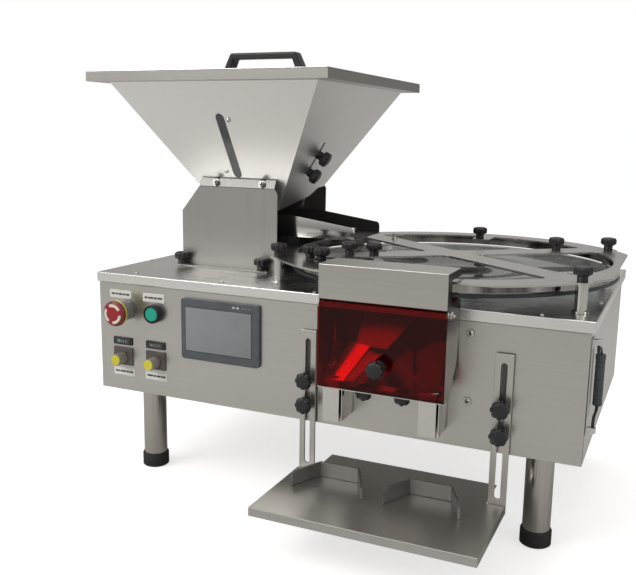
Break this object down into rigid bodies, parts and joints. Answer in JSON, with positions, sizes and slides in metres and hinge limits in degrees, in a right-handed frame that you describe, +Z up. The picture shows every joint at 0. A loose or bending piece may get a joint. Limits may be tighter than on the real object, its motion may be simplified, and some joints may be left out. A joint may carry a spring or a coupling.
{
  "type": "capsule counting and bottle filling machine",
  "caption": "Steel bench machine: a hopper and vibrating chute feed capsules to a turning disc, which sends them past a counting head into bottles on a height-adjustable tray.",
  "frame": {"origin": "centre of the machine outline on the bench, under its feet", "axes": "+Z up, -Y towards the operator (the front), +X to the operator's right"},
  "size_m": [0.7936, 0.654, 0.684],
  "materials": {
    "brushed_sheet": "vertical brushed grain, satin",
    "bright_sheet": "fine brushed, semi-bright",
    "black_knob": "moulded, slightly glossy edges",
    "black_plastic": "moulded satin",
    "disc_glass": "frosted top, dark polished edge",
    "red_acrylic": "transparent deep red sheet, polished",
    "grey_plastic": "fine grain",
    "screen_glass": "smooth, display off",
    "red_plastic": "moulded",
    "green_plastic": "moulded lens",
    "dark_plate": "satin grey-brown",
    "motor_grey": "satin",
    "knob_grey": "turned, knurled"
  },
  "bodies": {
    "machine": {"top_plate": "brushed_sheet", "front_panel": "brushed_sheet", "left_side_panel": "brushed_sheet", "right_side_panel": "brushed_sheet", "rear_panel": "brushed_sheet", "base_plate": "brushed_sheet", "leg_front_left": "brushed_sheet", "leg_front_right": "brushed_sheet", "leg_rear_left": "brushed_sheet", "leg_rear_right": "brushed_sheet", "ring_plate": "brushed_sheet", "stand_front_plate": "brushed_sheet", "stand_rear_plate": "brushed_sheet", "counting_hood": "brushed_sheet", "post_front_left": "bright_sheet", "post_front_right": "bright_sheet", "post_rear_left": "bright_sheet", "post_rear_right": "bright_sheet", "guard_band": "bright_sheet", "guide_outer": "bright_sheet", "guide_inner": "bright_sheet", "hopper_funnel": "bright_sheet", "outlet_channel_left": "bright_sheet", "outlet_channel_right": "bright_sheet", "estop_base": "black_plastic", "start_bezel": "black_plastic", "speed_display_left": "black_plastic", "speed_display_right": "black_plastic", "side_handle_bracket": "black_plastic", "sight_window": "grey_plastic", "touch_panel": "grey_plastic", "touch_screen": "screen_glass", "speed_plate_left": "dark_plate", "speed_plate_right": "dark_plate", "vibrator_base": "motor_grey", "turntable_gearmotor": "motor_grey"},
    "turntable": {"turntable_disc": "disc_glass", "drive_shaft": "bright_sheet"},
    "lid": {"hopper_lid": "brushed_sheet", "lid_handle": "black_knob"},
    "gate": {"flow_gate": "black_knob"},
    "chute": {"chute_trough": "bright_sheet"},
    "window": {"red_window": "red_acrylic", "window_hinge_bar": "bright_sheet", "window_knob": "black_knob"},
    "tray": {"bottle_tray": "brushed_sheet", "tray_arm_left": "brushed_sheet", "tray_arm_right": "brushed_sheet"},
    "locator_left": {"bottle_locator_left": "dark_plate"},
    "locator_right": {"bottle_locator_right": "dark_plate"},
    "clamp_knob_left_lower": {"tray_knob_left_lower": "black_knob"},
    "clamp_knob_left_upper": {"tray_knob_left_upper": "black_knob"},
    "clamp_knob_right_lower": {"tray_knob_right_lower": "black_knob"},
    "clamp_knob_right_upper": {"tray_knob_right_upper": "black_knob"},
    "estop_stem": {"estop_plunger": "grey_plastic"},
    "estop_mushroom": {"estop_head": "red_plastic"},
    "start": {"start_button": "green_plastic"},
    "vibration_knob": {"speed_knob_left": "knob_grey"},
    "rotation_knob": {"speed_knob_right": "knob_grey"},
    "carry_handle": {"side_handle": "grey_plastic"}
  },
  "joints": [
    {"name": "turntable_spin", "type": "hinge", "parent": "machine", "child": "turntable", "pos_m": [0.14375, 0.047, 0.35], "axis": [0, 0, 1], "continuous": true},
    {"name": "lid_lift", "type": "slide", "parent": "machine", "child": "lid", "axis": [0, 0, 1], "range_m": [0, 0.2]},
    {"name": "gate_slide", "type": "slide", "parent": "machine", "child": "gate", "axis": [0.5291, 0, 0.8486], "range_m": [0, 0.015]},
    {"name": "chute_vibration", "type": "slide", "parent": "machine", "child": "chute", "axis": [0.9397, 0, -0.342], "range_m": [-0.0008, 0.0008], "stiffness_N_per_m": 20000},
    {"name": "window_hinge", "type": "hinge", "parent": "machine", "child": "window", "pos_m": [0.129, -0.226, 0.333], "axis": [-1, 0, 0], "range_deg": [0, 90]},
    {"name": "tray_height", "type": "slide", "parent": "machine", "child": "tray", "axis": [0, 0, 1], "range_m": [-0.055, 0.062]},
    {"name": "locator_left_slide", "type": "slide", "parent": "tray", "child": "locator_left", "axis": [0, 1, 0], "range_m": [-0.012, 0.012]},
    {"name": "locator_right_slide", "type": "slide", "parent": "tray", "child": "locator_right", "axis": [0, 1, 0], "range_m": [-0.012, 0.012]},
    {"name": "estop_push", "type": "slide", "parent": "machine", "child": "estop_stem", "axis": [0, 1, 0], "range_m": [0, 0.005], "stiffness_N_per_m": 800},
    {"name": "estop_twist", "type": "hinge", "parent": "estop_stem", "child": "estop_mushroom", "pos_m": [-0.31575, -0.17, 0.2755], "axis": [0, 1, 0], "range_deg": [0, 45], "stiffness_Nm_per_rad": 0.05},
    {"name": "start_push", "type": "slide", "parent": "machine", "child": "start", "axis": [0, 1, 0], "range_m": [0, 0.0035], "stiffness_N_per_m": 600},
    {"name": "vibration_knob_turn", "type": "hinge", "parent": "machine", "child": "vibration_knob", "pos_m": [-0.32425, -0.17, 0.1975], "axis": [0, 1, 0], "range_deg": [-150, 150]},
    {"name": "rotation_knob_turn", "type": "hinge", "parent": "machine", "child": "rotation_knob", "pos_m": [-0.26225, -0.17, 0.1975], "axis": [0, 1, 0], "range_deg": [-150, 150]},
    {"name": "carry_handle_swing", "type": "hinge", "parent": "machine", "child": "carry_handle", "pos_m": [0.39025, -0.152, 0.23], "axis": [0, 0, -1], "range_deg": [0, 90]},
    {"name": "clamp_knob_left_lower_turn", "type": "hinge", "parent": "machine", "child": "clamp_knob_left_lower", "pos_m": [0.00225, -0.18, 0.173], "axis": [0, 1, 0], "range_deg": [-360, 0]},
    {"name": "clamp_knob_left_upper_turn", "type": "hinge", "parent": "machine", "child": "clamp_knob_left_upper", "pos_m": [0.00225, -0.18, 0.209], "axis": [0, 1, 0], "range_deg": [-360, 0]},
    {"name": "clamp_knob_right_lower_turn", "type": "hinge", "parent": "machine", "child": "clamp_knob_right_lower", "pos_m": [0.27975, -0.18, 0.173], "axis": [0, 1, 0], "range_deg": [-360, 0]},
    {"name": "clamp_knob_right_upper_turn", "type": "hinge", "parent": "machine", "child": "clamp_knob_right_upper", "pos_m": [0.27975, -0.18, 0.209], "axis": [0, 1, 0], "range_deg": [-360, 0]}
  ]
}
